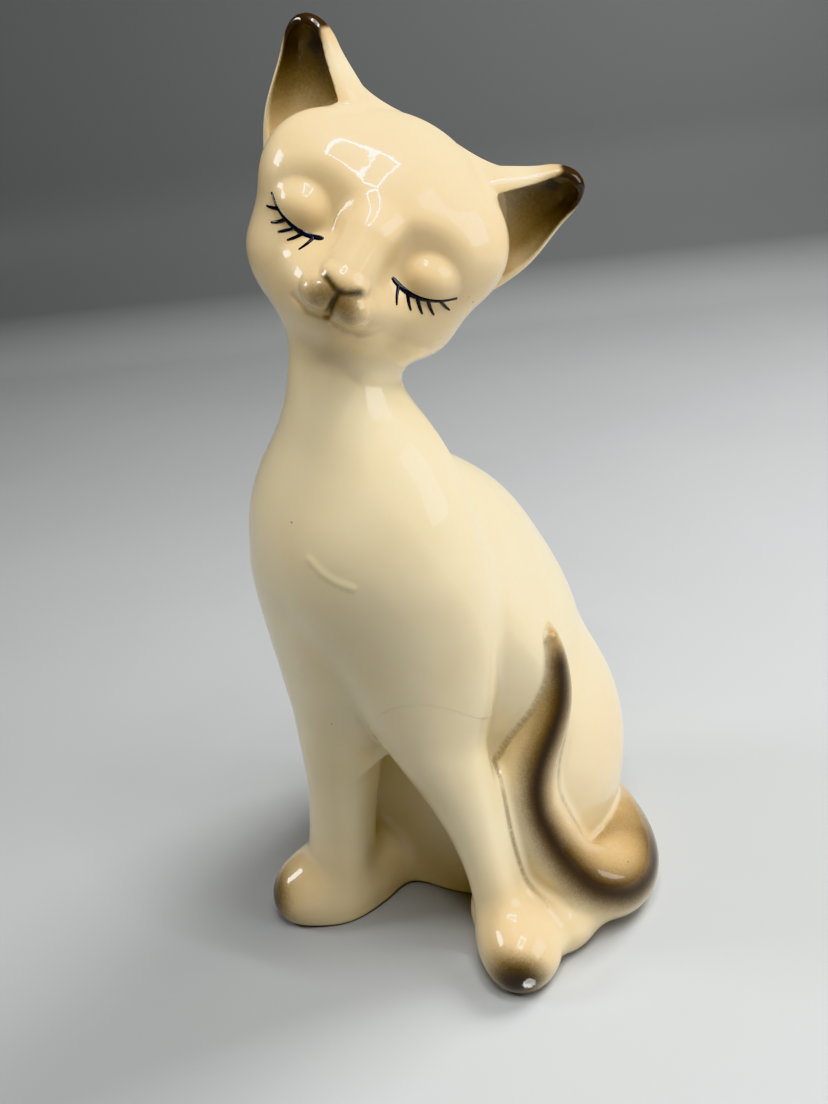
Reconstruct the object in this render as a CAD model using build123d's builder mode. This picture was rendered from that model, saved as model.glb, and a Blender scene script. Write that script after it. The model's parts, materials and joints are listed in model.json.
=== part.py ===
"""Sitting ceramic cat with its head tilted and its eyes shut, 211 mm high, slip-cast and luted.

Frame: millimetres, +Z up. The origin is on the shelf plane, on the cat's own middle plane,
between the forefeet and the rump. The cat faces -Y, its left side is +X.

Every piece is cut to the outline of the piece it is luted to, so neighbours share a face.
"""

import math
import os

from build123d import *

# ---------------------------------------------------------------- driving dimensions, mm
WALL = 4.0  # thickness of the cast shell
FLOOR = 5.0  # thickness of the closed underside
DRAIN_RADIUS = 5.5  # drain hole in the middle of the underside
DRAIN_Y = 14.0

# Level sections of the two masses of the body: height, middle x, middle y, half width, depth in front, depth behind
CHEST = [
    (56, 0, -20, 12, 6, 10),
    (66, 0, -23, 20, 11, 14),
    (80, 0, -26, 24.6, 15, 16),
    (95, 0, -28, 26.6, 18.5, 18),
    (112, 0, -29.5, 26, 20, 18),
    (128, 0, -29.5, 21.2, 16.5, 15.5),
    (135, 0, -29.2, 16.8, 14.4, 13.7),
    (143, -0.7, -29, 12.0, 12.4, 11.6),
    (153, -0.3, -27.5, 10.8, 11.4, 11.0),
    (163, 0.6, -26, 10.2, 10.8, 10.6),
]
RUMP = [
    (0, 0, 13, 30, 24.5, 31),
    (20, 0, 12, 33, 24, 34),
    (40, 0, 9, 34.5, 24, 38),
    (58, 0, 3, 33, 24, 43),
    (75, 0, -4, 31.5, 25, 46),
    (95, 0, -13, 27.5, 24, 42.5),
    (112, 0, -19, 22, 18, 32),
    (124, 0, -23, 14, 12, 18),
    (131, 0, -25, 8, 7, 9),
]
NECK_TOP = CHEST[-1][0]
HAUNCH_MIDDLE = (22.3, 13.5, 33)
HAUNCH_RADII = (16.5, 26, 32)

# Forelegs from the shelf up into the chest: height, x, y, radius. The left one is slimmer and leans further in.
LEG = {
    1: [
        (0, 24.5, -25, 6.6),
        (12, 23, -25, 6.2),
        (22, 21, -24.5, 5.9),
        (34, 18, -24.5, 6.5),
        (50, 13.4, -25.4, 9.2),
        (60, 10.6, -26.4, 11.2),
        (78, 9.2, -27, 12.5),
        (102, 9, -26, 12.6),
    ],
    -1: [
        (0, -23.5, -25, 8.8),
        (12, -22.6, -25, 8.6),
        (22, -21, -24.5, 8.5),
        (34, -18.9, -24.5, 8.7),
        (50, -16.3, -25.3, 9.9),
        (60, -14.8, -26, 11),
        (78, -12.8, -27, 12.2),
        (102, -12, -26, 12.6),
    ],
}
PAW_MIDDLE = (29, -27.5, 6.5)
PAW_RADII = (9.7, 12.2, 9.6)
TOE_OUT = 15.0  # degrees
HIND_PAW_MIDDLE = {1: (29.5, -10.5, 6), -1: (-25.5, -9, 6)}  # the left one is pushed out by the tail
HIND_PAW_RADII = (13.5, 16.5, 10.5)
WEB_MIDDLE = (19, -16, 5)  # slip filling the gap between a hind paw and the foreleg
WEB_RADII = (8, 9, 11)

# Tail along its middle line, from the rump round the left haunch and up the flank: x, y, z, radius
TAIL = [
    (2, 30, 12, 9),
    (10, 33.4, 9.6, 9),
    (18, 35, 8.5, 9),
    (31.5, 25.5, 7.5, 8.6),
    (41.5, 10, 8, 9.3),
    (42, -2.5, 9.5, 9.4),
    (35.5, -10, 16, 8.8),
    (29.5, -12.8, 27, 8),
    (26.4, -13.2, 38, 7),
    (26.8, -11.1, 49, 6.4),
    (29.6, -7.2, 59, 5.7),
    (30.6, -5.0, 68, 4.6),
    (30.8, -5.2, 75.5, 3.3),
    (30.8, -5.8, 79.5, 2.3),
]
TAIL_TIP_ROUNDING = 1.8
TAIL_HUB = (0, 10)  # the tail wraps round this upright line

# Head, in its own frame: x to the cat's left, -y forward, z up, origin at the middle of the skull
HEAD_MIDDLE = (4, -22, 170)
HEAD_TURN = 21.7  # degrees about the vertical, towards the cat's left
HEAD_TILT = 34.0  # degrees, left ear down
HEAD_LIFT = 9.0  # degrees, nose up
SKULL = ((0.3, 2, 3.6), (23, 21, 22))
CHEEKS = ((0.6, 0.5, -8), (21, 15, 11))
CHIN = ((0, -8.5, -13), (9, 8.5, 5.4))
BRIDGE = ((0, -17.2, -1.5), (3.8, 4, 7))
MUZZLE = ((0, -14.8, -8.6), (9.2, 7.4, 6))
NOSE = ((0, -21.8, -5.9), (3.7, 3, 2.5))
# one on each side
TEMPLE = ((14, -3.5, 8), (11, 11, 11))
SOCKET = ((12.4, -19, 1.6), (8.2, 4.4, 7))
LID = ((12.6, -11.9, 1.9), (5.9, 5, 4.9))
MUZZLE_LOBE = ((3, -20.6, -9.2), (3.5, 3.2, 3.1))

# Ear, a cone with its front sliced off and scooped out, in a frame standing on the skull with z along the ear
EAR_FOOT = (18.4, 5.2, 13.9)
EAR_LEAN = 34.0  # degrees outwards
EAR_PITCH = 10.4  # degrees forwards
EAR_TURN = 15.5  # degrees the mouth of the ear turns from straight ahead to the side
# distance along the ear, half width, half depth, mouth cut this far in front of the middle, wall
EAR = [
    (-8, 12.7, 10.6, 6.2, 2.0),
    (0, 12.0, 9.2, 5.7, 1.7),
    (5.4, 10.6, 7.8, 5.0, 1.5),
    (10.8, 7.9, 6.3, 3.9, 1.4),
    (15.3, 5.4, 4.6, 2.6, 1.3),
    (19, 3.1, 2.7, 1.2, 1.2),
    (20.4, 1.7, 1.6, 0.5, 0.9),
]

# Lash enamel: a curved stroke along the closed lid with short strokes leaving it, seen along the head's y axis
ENAMEL = 0.35  # thickness of the raised enamel
LASH_LINE = [(7.0, -1.2), (9.2, -2.0), (11.7, -2.3), (14.2, -1.9), (16.8, -0.8), (19.3, 1.0)]
LASH_LINE_WIDTH = 0.9
# each lash: x and z where it leaves the line, length, heading in degrees
LASHES = [
    (8.9, -1.9, 3.5, 292),
    (10.9, -2.25, 3.3, 308),
    (12.9, -2.2, 3.2, 314),
    (14.8, -1.7, 3.1, 319),
    (16.8, -0.8, 2.6, 340),
]
LASH_WIDTH = 0.55


# ---------------------------------------------------------------- shapes used more than once
def egg(middle, radii, turn=0.0):
    """A solid ellipsoid with the given half axes, turned about the vertical."""
    with BuildPart() as blank:
        Sphere(1)
        scale(by=radii)
    with BuildPart() as placed:
        with Locations(Location(middle, (0, 0, turn))):
            add(blank.part)
    return placed.part


def oval(height, middle_x, middle_y, half_width, front, back):
    """A closed body section at one height, deeper behind than in front or the reverse."""
    points = []
    for step in range(12):
        angle = math.radians(30 * step)
        depth = back if math.sin(angle) > 0 else front
        points.append((middle_x + half_width * math.cos(angle), middle_y + depth * math.sin(angle)))
    with BuildSketch(Plane.XY.offset(height)) as section:
        with BuildLine():
            Spline(points, periodic=True)
        make_face()
    return section.sketch


def mass(sections, inset, bottom):
    """One filled mass of the body, lofted through its level sections, each drawn in by the inset."""
    with BuildPart() as filled:
        rings = []
        for height, x, y, half_width, front, back in sections:
            if front <= inset + 2:
                continue
            if height == 0:
                height = bottom
            if inset and height == NECK_TOP:
                height = NECK_TOP + 1
            rings.append(oval(height, x, y, half_width - inset, front - inset, back - inset))
        loft(rings)
    return filled.part


def body_solid(inset, bottom):
    """The filled body: chest with neck, back with rump, and a haunch on each side."""
    with BuildPart() as filled:
        add(mass(RUMP, inset, bottom))
        add(mass(CHEST, inset, bottom))
        for side in (1, -1):
            x, y, z = HAUNCH_MIDDLE
            add(egg((side * x, y, z), tuple(r - inset for r in HAUNCH_RADII)))
        Box(200, 200, 100, align=(Align.CENTER, Align.CENTER, Align.MAX), mode=Mode.SUBTRACT)
    return filled.part


def foreleg_solid(side):
    """A whole foreleg with its paw, running up inside the chest. Side is 1 for the cat's left."""
    with BuildPart() as leg:
        sections = []
        for height, x, y, radius in LEG[side]:
            with BuildSketch(Plane.XY.offset(height)) as section:
                with Locations((x, y)):
                    Circle(radius)
            sections.append(section.sketch)
        loft(sections)
        x, y, z = PAW_MIDDLE
        add(egg((side * x, y, z), PAW_RADII, side * TOE_OUT))
        Box(200, 200, 100, align=(Align.CENTER, Align.CENTER, Align.MAX), mode=Mode.SUBTRACT)
    return leg.part


def head_solid(grow):
    """The filled head in its own frame, every form grown by the given thickness."""
    with BuildPart() as filled:
        for middle, radii in (SKULL, CHEEKS):
            add(egg(middle, tuple(r + grow for r in radii)))
        for side in (1, -1):
            (x, y, z), radii = TEMPLE
            add(egg((side * x, y, z), tuple(r + grow for r in radii)))
        for side in (1, -1):
            (x, y, z), radii = SOCKET
            add(egg((side * x, y, z), tuple(r - grow for r in radii)), mode=Mode.SUBTRACT)
        for middle, radii in (CHIN, MUZZLE, BRIDGE, NOSE):
            add(egg(middle, tuple(r + grow for r in radii)))
        for (x, y, z), radii in (LID, MUZZLE_LOBE):
            for side in (1, -1):
                add(egg((side * x, y, z), tuple(r + grow for r in radii)))
    return filled.part


def ear_solid(side):
    """A whole ear in the head's frame, running down into the skull."""
    x, y, z = EAR_FOOT
    stand = (
        Location((side * x, y, z), (0, side * EAR_LEAN, 0))
        * Location((0, 0, 0), (EAR_PITCH, 0, 0))
        * Location((0, 0, 0), (0, 0, side * EAR_TURN))
    )
    with BuildPart() as cup:
        sections = []
        for along, half_width, half_depth, mouth, wall in EAR:
            with BuildSketch(Plane.XY.offset(along)) as section:
                with BuildLine():
                    outer_cut = math.degrees(math.asin(mouth / half_depth))
                    inner_cut = math.degrees(math.asin(mouth / (half_depth - wall)))
                    outer = EllipticalCenterArc(
                        (0, 0), half_width, half_depth, -outer_cut, arc_size=180 + 2 * outer_cut
                    )
                    inner = EllipticalCenterArc(
                        (0, 0), half_width - wall, half_depth - wall, -inner_cut, arc_size=180 + 2 * inner_cut
                    )
                    Line(outer @ 0, inner @ 0)
                    Line(outer @ 1, inner @ 1)
                make_face()
            sections.append(section.sketch)
        loft(sections)
    with BuildPart() as placed:
        with Locations(stand):
            add(cup.part)
    return placed.part


def lash_strokes(side):
    """The lash strokes of one eye, seen along the head's y axis, drawn right through the face."""
    with BuildPart() as strokes:
        with BuildSketch(Plane.XZ):
            with BuildLine():
                Spline(LASH_LINE)
            trace(line_width=LASH_LINE_WIDTH)
            for x, z, length, heading in LASHES:
                a = math.radians(heading)
                with BuildLine():
                    Line((x, z), (x + length * math.cos(a), z + length * math.sin(a)))
                trace(line_width=LASH_WIDTH)
        extrude(amount=40)
    if side > 0:
        return strokes.part
    with BuildPart() as mirrored:
        add(strokes.part.mirror(Plane.YZ))
    return mirrored.part


head_place = (
    Location(HEAD_MIDDLE)
    * Location((0, 0, 0), (0, 0, HEAD_TURN))
    * Location((0, 0, 0), (0, HEAD_TILT, 0))
    * Location((0, 0, 0), (-HEAD_LIFT, 0, 0))
)


def on_the_neck(shape):
    """A shape drawn in the head's frame, put where the head sits on the neck."""
    with BuildPart() as placed:
        with Locations(head_place):
            add(shape)
    return placed.part


# ---------------------------------------------------------------- filled outlines of the pieces
body_outline = body_solid(0, 0)
head_outline = on_the_neck(head_solid(0))
leg_outline = {side: foreleg_solid(side) for side in (1, -1)}

# ---------------------------------------------------------------- torso: hollow body and neck
with BuildPart() as torso_shell:
    add(body_outline)
    add(body_solid(WALL, FLOOR), mode=Mode.SUBTRACT)
    with Locations((0, DRAIN_Y, -1)):
        Cylinder(DRAIN_RADIUS, FLOOR + 20, align=(Align.CENTER, Align.CENTER, Align.MIN), mode=Mode.SUBTRACT)

# ---------------------------------------------------------------- head: hollow, open over the neck
with BuildPart() as head_shell:
    add(head_outline)
    skull_middle, skull_radii = SKULL
    add(on_the_neck(egg(skull_middle, tuple(r - WALL for r in skull_radii))), mode=Mode.SUBTRACT)
    add(body_outline, mode=Mode.SUBTRACT)

# ---------------------------------------------------------------- ears, luted to the skull
with BuildPart() as left_ear:
    add(on_the_neck(ear_solid(1)))
    add(head_outline, mode=Mode.SUBTRACT)

with BuildPart() as right_ear:
    add(on_the_neck(ear_solid(-1)))
    add(head_outline, mode=Mode.SUBTRACT)

# ---------------------------------------------------------------- forelegs, luted to the chest
with BuildPart() as left_foreleg:
    add(leg_outline[1])
    add(body_outline, mode=Mode.SUBTRACT)

with BuildPart() as right_foreleg:
    add(leg_outline[-1])
    add(body_outline, mode=Mode.SUBTRACT)


# ---------------------------------------------------------------- hind paws, between haunch and foreleg
def hind_paw_blank(side):
    """A hind paw resting on the shelf, before it is cut to its neighbours."""
    with BuildPart() as blank:
        add(egg(HIND_PAW_MIDDLE[side], HIND_PAW_RADII, side * TOE_OUT))
        x, y, z = WEB_MIDDLE
        add(egg((side * x, y, z), WEB_RADII))
        Box(200, 200, 100, align=(Align.CENTER, Align.CENTER, Align.MAX), mode=Mode.SUBTRACT)
    return blank.part


with BuildPart() as left_hind_paw:
    add(hind_paw_blank(1))
    add(body_outline, mode=Mode.SUBTRACT)
    add(leg_outline[1], mode=Mode.SUBTRACT)

with BuildPart() as right_hind_paw:
    add(hind_paw_blank(-1))
    add(body_outline, mode=Mode.SUBTRACT)
    add(leg_outline[-1], mode=Mode.SUBTRACT)

# ---------------------------------------------------------------- tail, round the left haunch and up the flank
with BuildPart() as tail:
    with BuildLine() as tail_line:
        tail_curve = Spline([(x, y, z) for x, y, z, radius in TAIL])
    rings = []
    for x, y, z, radius in TAIL:
        place = Vector(x, y, z)
        along = tail_curve.tangent_at(tail_curve.param_at_point(place))
        inward = Vector(TAIL_HUB[0] - x, TAIL_HUB[1] - y, 0)
        with BuildSketch(Plane(origin=place, x_dir=inward, z_dir=along)) as ring:
            Circle(radius)
        rings.append(ring.sketch)
    loft(rings)
    fillet(tail.faces().filter_by(GeomType.PLANE).sort_by(Axis.Z)[-1].edges(), TAIL_TIP_ROUNDING)
    Box(200, 200, 100, align=(Align.CENTER, Align.CENTER, Align.MAX), mode=Mode.SUBTRACT)
    add(body_outline, mode=Mode.SUBTRACT)
    add(leg_outline[1], mode=Mode.SUBTRACT)
    add(hind_paw_blank(1), mode=Mode.SUBTRACT)

# ---------------------------------------------------------------- lashes, raised enamel on the face
enamel_outline = head_solid(ENAMEL)
face_outline = head_solid(0)
with BuildPart() as left_lashes_blank:
    add(lash_strokes(1))
    add(enamel_outline, mode=Mode.INTERSECT)
    add(face_outline, mode=Mode.SUBTRACT)

with BuildPart() as right_lashes_blank:
    add(lash_strokes(-1))
    add(enamel_outline, mode=Mode.INTERSECT)
    add(face_outline, mode=Mode.SUBTRACT)

with BuildPart() as left_lashes:
    add(on_the_neck(left_lashes_blank.part))

with BuildPart() as right_lashes:
    add(on_the_neck(right_lashes_blank.part))

# ---------------------------------------------------------------- one STEP file per piece
os.makedirs("parts", exist_ok=True)

torso_shell.part.label = "torso_shell"
export_step(torso_shell.part, "parts/torso_shell.step")
head_shell.part.label = "head_shell"
export_step(head_shell.part, "parts/head_shell.step")
left_ear.part.label = "left_ear"
export_step(left_ear.part, "parts/left_ear.step")
right_ear.part.label = "right_ear"
export_step(right_ear.part, "parts/right_ear.step")
left_foreleg.part.label = "left_foreleg"
export_step(left_foreleg.part, "parts/left_foreleg.step")
right_foreleg.part.label = "right_foreleg"
export_step(right_foreleg.part, "parts/right_foreleg.step")
left_hind_paw.part.label = "left_hind_paw"
export_step(left_hind_paw.part, "parts/left_hind_paw.step")
right_hind_paw.part.label = "right_hind_paw"
export_step(right_hind_paw.part, "parts/right_hind_paw.step")
tail.part.label = "tail"
export_step(tail.part, "parts/tail.step")
left_lashes.part.label = "left_lashes"
export_step(left_lashes.part, "parts/left_lashes.step")
right_lashes.part.label = "right_lashes"
export_step(right_lashes.part, "parts/right_lashes.step")
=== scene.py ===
import json
import math

import bpy
import numpy as np
import openvdb
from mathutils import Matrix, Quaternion, Vector

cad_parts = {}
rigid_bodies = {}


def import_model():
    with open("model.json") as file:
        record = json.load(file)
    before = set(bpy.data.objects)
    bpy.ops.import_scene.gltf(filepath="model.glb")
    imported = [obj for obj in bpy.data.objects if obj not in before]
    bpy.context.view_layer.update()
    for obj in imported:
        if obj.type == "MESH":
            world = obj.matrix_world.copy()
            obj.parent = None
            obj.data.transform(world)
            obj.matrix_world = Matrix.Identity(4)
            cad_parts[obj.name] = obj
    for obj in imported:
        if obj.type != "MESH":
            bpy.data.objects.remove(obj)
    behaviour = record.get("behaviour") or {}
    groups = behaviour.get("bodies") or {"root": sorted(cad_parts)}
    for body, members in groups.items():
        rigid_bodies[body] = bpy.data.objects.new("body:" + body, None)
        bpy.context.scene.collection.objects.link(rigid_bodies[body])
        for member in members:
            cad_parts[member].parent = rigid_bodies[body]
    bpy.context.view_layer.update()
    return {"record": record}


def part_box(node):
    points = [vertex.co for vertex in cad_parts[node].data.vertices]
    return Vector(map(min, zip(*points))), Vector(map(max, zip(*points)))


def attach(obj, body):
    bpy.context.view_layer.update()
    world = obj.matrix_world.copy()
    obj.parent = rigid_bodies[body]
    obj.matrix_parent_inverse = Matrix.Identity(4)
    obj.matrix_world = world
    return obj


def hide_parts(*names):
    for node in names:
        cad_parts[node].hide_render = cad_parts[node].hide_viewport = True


for leftover in list(bpy.data.objects):
    bpy.data.objects.remove(leftover)
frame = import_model()

# The figurine is sculpted as one smooth distance field, in millimetres in the CAD's own frame,
# then cut into the CAD's pieces where they were luted together. Every piece is a closed mesh whose
# glazed skin runs on from its neighbour's without a step.
MM = 1000.0


def low(node):
    return np.array(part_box(node)[0]) * MM


def high(node):
    return np.array(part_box(node)[1]) * MM


def middle(node):
    return (low(node) + high(node)) / 2


# ------------------------------------------------------------------ smooth curves and distance fields
class Curve:
    """A natural cubic spline through the given values, held straight beyond its ends."""

    def __init__(self, at, values):
        self.t = np.array(at, float)
        self.v = np.array(values, float).reshape(len(self.t), -1)
        n = len(self.t)
        h = np.diff(self.t)
        a = np.eye(n)
        b = np.zeros_like(self.v)
        for i in range(1, n - 1):
            a[i, i - 1 : i + 2] = h[i - 1], 2 * (h[i - 1] + h[i]), h[i]
            b[i] = 6 * ((self.v[i + 1] - self.v[i]) / h[i] - (self.v[i] - self.v[i - 1]) / h[i - 1])
        self.m = np.linalg.solve(a, b)

    def __call__(self, x):
        x = np.clip(x, self.t[0], self.t[-1])
        i = np.clip(np.searchsorted(self.t, x, side="right") - 1, 0, len(self.t) - 2)
        h = (self.t[i + 1] - self.t[i])[:, None]
        u = ((x - self.t[i]) / (self.t[i + 1] - self.t[i]))[:, None]
        w = 1 - u
        bend = (w**3 - w) * self.m[i] + (u**3 - u) * self.m[i + 1]
        return w * self.v[i] + u * self.v[i + 1] + bend * h * h / 6

    def slope(self, x):
        e = 0.01
        return (self(x + e) - self(x - e)) / (2 * e)


def soft_min(a, b, k):
    h = np.maximum(k - np.abs(a - b), 0) / k
    return np.minimum(a, b) - h * h * k / 4


def soft_max(a, b, k):
    return -soft_min(-a, -b, k)


def smooth_step(x, start, end):
    t = np.clip((x - start) / (end - start), 0, 1)
    return t * t * (3 - 2 * t)


def gauss(x):
    """A bell of height 1, for grooves, ridges and sprayed lines."""
    return np.exp(-(x**2))


def mirror(p):
    """The points folded onto the +X side."""
    return np.stack([np.abs(p[:, 0]), p[:, 1], p[:, 2]], 1)


def rotation(turn=0.0, tilt=0.0, lift=0.0):
    """Columns are the turned x, y and z axes: turn about the vertical, tilt about y, lift about x."""
    a, b, c = np.radians([turn, tilt, lift])
    about_z = np.array([[math.cos(a), -math.sin(a), 0], [math.sin(a), math.cos(a), 0], [0, 0, 1]])
    about_y = np.array([[math.cos(b), 0, math.sin(b)], [0, 1, 0], [-math.sin(b), 0, math.cos(b)]])
    about_x = np.array([[1, 0, 0], [0, math.cos(c), -math.sin(c)], [0, math.sin(c), math.cos(c)]])
    return about_z @ about_y @ about_x


def egg(p, centre, radii, turn=0.0):
    """Distance to an ellipsoid."""
    q = p - np.asarray(centre, p.dtype)
    if turn:
        q = q @ rotation(turn).astype(p.dtype)
    r = np.asarray(radii, p.dtype)
    near = np.sqrt(((q / r) ** 2).sum(1))
    far = np.sqrt(((q / r**2) ** 2).sum(1))
    return near * (near - 1) / np.maximum(far, 1e-6)


def column(p, curve, top, bottom, ends=6.0):
    """Distance to an upright form whose oval section (x, y, half width, front, back) changes with height."""
    s = curve(p[:, 2].astype(float)).astype(p.dtype)
    dx = p[:, 0] - s[:, 0]
    dy = p[:, 1] - s[:, 1]
    wide = s[:, 2]
    deep = s[:, 3] + (s[:, 4] - s[:, 3]) * smooth_step(dy, -12, 12)
    near = np.sqrt((dx / wide) ** 2 + (dy / deep) ** 2)
    far = np.sqrt((dx / wide**2) ** 2 + (dy / deep**2) ** 2)
    side = near * (near - 1) / np.maximum(far, 1e-6)
    side = soft_max(side, p[:, 2] - top, ends)
    return soft_max(side, bottom - p[:, 2], 1.0)


class Rope:
    """A round form of changing radius along a smooth line through (x, y, z, radius) rows."""

    def __init__(self, rows):
        rows = np.array(rows, float)
        self.curve = Curve(range(len(rows)), rows)
        self.last = len(rows) - 1
        self.t = np.linspace(0, self.last, 8 * self.last + 1)
        self.c = self.curve(self.t)[:, :3]

    def nearest(self, p):
        """The place along the line nearest to each point, and the line there."""
        best = np.full(len(p), 1e9)
        t = np.zeros(len(p))
        for ti, c in zip(self.t, self.c):
            d = ((p - c) ** 2).sum(1)
            closer = d < best
            best[closer] = d[closer]
            t[closer] = ti
        for _ in range(3):
            c, d = self.curve(t)[:, :3], self.curve.slope(t)[:, :3]
            step = ((p - c) * d).sum(1) / np.maximum((d * d).sum(1), 1e-6)
            t = np.clip(t + np.clip(step, -0.2, 0.2), 0, self.last)
        return t, self.curve(t)

    def __call__(self, p):
        p = p.astype(float)
        t, c = self.nearest(p)
        return np.sqrt(((p - c[:, :3]) ** 2).sum(1)) - c[:, 3]


# ------------------------------------------------------------------ the forms of the cat
# Level sections: height, x, y, half width, depth in front, depth behind
NECK_TOP = high("torso_shell")[2]
SHELF = low("torso_shell")[2]
CHEST = np.array([
    (56, 0, -20, 12, 6, 10),
    (66, 0, -23, 20, 11, 14),
    (80, 0, -26, 24.6, 15, 16),
    (95, 0, -28, 26.6, 18.5, 18),
    (112, 0, -29.5, 26, 20, 18),
    (128, 0, -29.5, 21.2, 16.5, 15.5),
    (135, 0, -29.2, 16.8, 14.4, 13.7),
    (143, -0.7, -29, 12.0, 12.4, 11.6),
    (153, -0.3, -27.5, 10.8, 11.4, 11.0),
    (163, 0.6, -26, 10.2, 10.8, 10.6),
])
RUMP = np.array([
    (0, 0, 13, 30, 24.5, 31),
    (20, 0, 12, 33, 24, 34),
    (40, 0, 9, 34.5, 24, 38),
    (58, 0, 3, 33, 24, 43),
    (75, 0, -4, 31.5, 25, 46),
    (95, 0, -13, 27.5, 24, 42.5),
    (112, 0, -19, 22, 18, 32),
    (124, 0, -23, 14, 12, 18),
    (131, 0, -25, 8, 7, 9),
])
CHEST[:, 0] *= NECK_TOP / CHEST[-1, 0]
chest_curve = Curve(CHEST[:, 0], CHEST[:, 1:])
rump_curve = Curve(RUMP[:, 0], RUMP[:, 1:])
HAUNCH = ((22.3, 13.5, 33), (16.5, 26, 32))
HAUNCH_BLEND = 9.0

# Forelegs: height, x, y, radius. The left one is slimmer and leans further in.
LEGS = {
    1: [(0, 24.5, -25, 6.6), (12, 23, -25, 6.2), (22, 21, -24.5, 5.9), (34, 18, -24.5, 6.5),
        (50, 13.4, -25.4, 9.2), (60, 10.6, -26.4, 11.2), (78, 9.2, -27, 12.5), (102, 9, -26, 12.6)],
    -1: [(0, -23.5, -25, 8.8), (12, -22.6, -25, 8.6), (22, -21, -24.5, 8.5), (34, -18.9, -24.5, 8.7),
         (50, -16.3, -25.3, 9.9), (60, -14.8, -26, 11), (78, -12.8, -27, 12.2),
         (102, -12, -26, 12.6)],
}
leg_curves = {side: Curve([row[0] for row in rows], [(x, y, r, r, r) for z, x, y, r in rows])
              for side, rows in LEGS.items()}
PAW_RADII = np.array((9.7, 12.2, 9.6))
TOE_OUT = 15.0
PAW = np.array((high("left_foreleg")[0] - 9.7, low("left_foreleg")[1] + 11.8, 6.5))
HIND_RADII = np.array((13.5, 16.5, 10.5))
HIND = {1: high("left_hind_paw") - (13.7, 16.3, 10.5),
        -1: np.array((low("right_hind_paw")[0] + 13.7, high("right_hind_paw")[1] - 15.5, 6.0))}
WEB = ((19, -16, 5), (8, 9, 11))  # the web of slip between a foreleg and its hind paw

TAIL = np.array([
    (2, 30, 12, 9),
    (10, 33.4, 9.6, 9),
    (18, 35, 8.5, 9),
    (31.5, 25.5, 7.5, 8.6),
    (41.5, 10, 8, 9.3),
    (42, -2.5, 9.5, 9.4),
    (35.5, -10, 16, 8.8),
    (29.5, -12.8, 27, 8),
    (26.4, -13.2, 38, 7.0),
    (26.8, -11.1, 49, 6.4),
    (29.6, -7.2, 59, 5.7),
    (30.6, -5.0, 68, 4.6),
    (30.8, -5.2, 75.5, 3.3),
    (30.8, -5.8, 79.5, 2.3),
])
TAIL[:, :3] += high("tail") - (52.0, 44.2, 79.7)
tail_rope = Rope(TAIL)

# Head, in its own frame: x to the cat's left, -y forward, z up
HEAD_AT = middle("head_shell") + (-2.7, 0.6, -2.0)
HEAD_AXES = rotation(21.7, 34.0, -9.0)
EAR_FOOT = np.array((18.4, 5.2, 13.9))
EAR_LEAN = 34.0
EAR_PITCH = 10.4
EAR_TURN = 15.5
EAR_LENGTH = 21.0
# Along the ear: half width, half depth, how far the mouth is cut in front of the middle, wall
EAR_SHAPE = Curve((-9, 0, 5.4, 10.8, 15.3, 19, 21.5), [
    (12.8, 10.8, 6.3, 2.0),
    (12.0, 9.2, 5.7, 1.7),
    (10.6, 7.8, 5.0, 1.4),
    (7.9, 6.3, 3.9, 1.2),
    (5.8, 4.9, 2.8, 1.1),
    (5.0, 4.2, 2.0, 1.1),
    (4.8, 4.0, 1.6, 1.1),
])
EAR_OUTER_CUT = 0.5  # the mouth of the cup is cut further back towards its outer rim
EAR_CAP = 15.5  # from here to its tip the ear rounds off
EAR_TIP_WALL = 1.3
CUP_FLOOR = -3.0  # where the hollow of the cup ends
EAR_ROOT = -11.0  # where the ear ends inside the head
BRIDGE = Rope([(0, -17.5, 3, 4.0), (0, -20.0, -2.5, 3.6), (0, -21.6, -6, 3.2)])


def to_head(p):
    return ((p - HEAD_AT) @ HEAD_AXES).astype(p.dtype)


def ear_frame(q, side):
    """Points of the head's frame in the frame of an ear: across, into the cup, along the ear."""
    axes = rotation(0, side * EAR_LEAN) @ rotation(0, 0, EAR_PITCH) @ rotation(side * EAR_TURN)
    foot = EAR_FOOT * (side, 1, 1)
    return ((q - foot) @ axes).astype(q.dtype)


def ear_field(q, side):
    e = ear_frame(q, side)
    s = EAR_SHAPE(e[:, 2].astype(float)).astype(q.dtype)
    wide, deep, mouth, wall = s[:, 0], s[:, 1], s[:, 2], s[:, 3]
    x, y = e[:, 0], e[:, 1]

    def oval(a, b, tip):
        up = np.clip((e[:, 2] - EAR_CAP) / (tip - EAR_CAP), 0, 0.995)
        a, b = a * np.sqrt(1 - up * up), b * np.sqrt(1 - up * up)
        near = np.sqrt((x / a) ** 2 + (y / b) ** 2)
        far = np.sqrt((x / a**2) ** 2 + (y / b**2) ** 2)
        side = near * (near - 1) / np.maximum(far, 1e-6)
        return np.maximum(side, e[:, 2] - tip)

    outside = oval(wide, deep, EAR_LENGTH)
    hollow = oval(np.maximum(wide - wall, 0.3), np.maximum(deep - wall, 0.3), EAR_LENGTH - EAR_TIP_WALL)
    hollow = soft_max(hollow, CUP_FLOOR - e[:, 2], 3.0)
    cup = soft_max(outside, -hollow, 0.7)
    mouth = mouth - EAR_OUTER_CUT * np.maximum(side * x, 0)
    cup = soft_max(cup, -mouth - y, 0.9)
    return soft_max(cup, EAR_ROOT - e[:, 2], 8.0)


def line_distance(x, z, points):
    """Distance in the face's plane to a line through a few points."""
    best = np.full(len(x), 1e9, x.dtype)
    for (x0, z0), (x1, z1) in zip(points[:-1], points[1:]):
        dx, dz = x1 - x0, z1 - z0
        t = np.clip(((x - x0) * dx + (z - z0) * dz) / (dx * dx + dz * dz), 0, 1)
        best = np.minimum(best, np.hypot(x - x0 - t * dx, z - z0 - t * dz))
    return best


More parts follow.
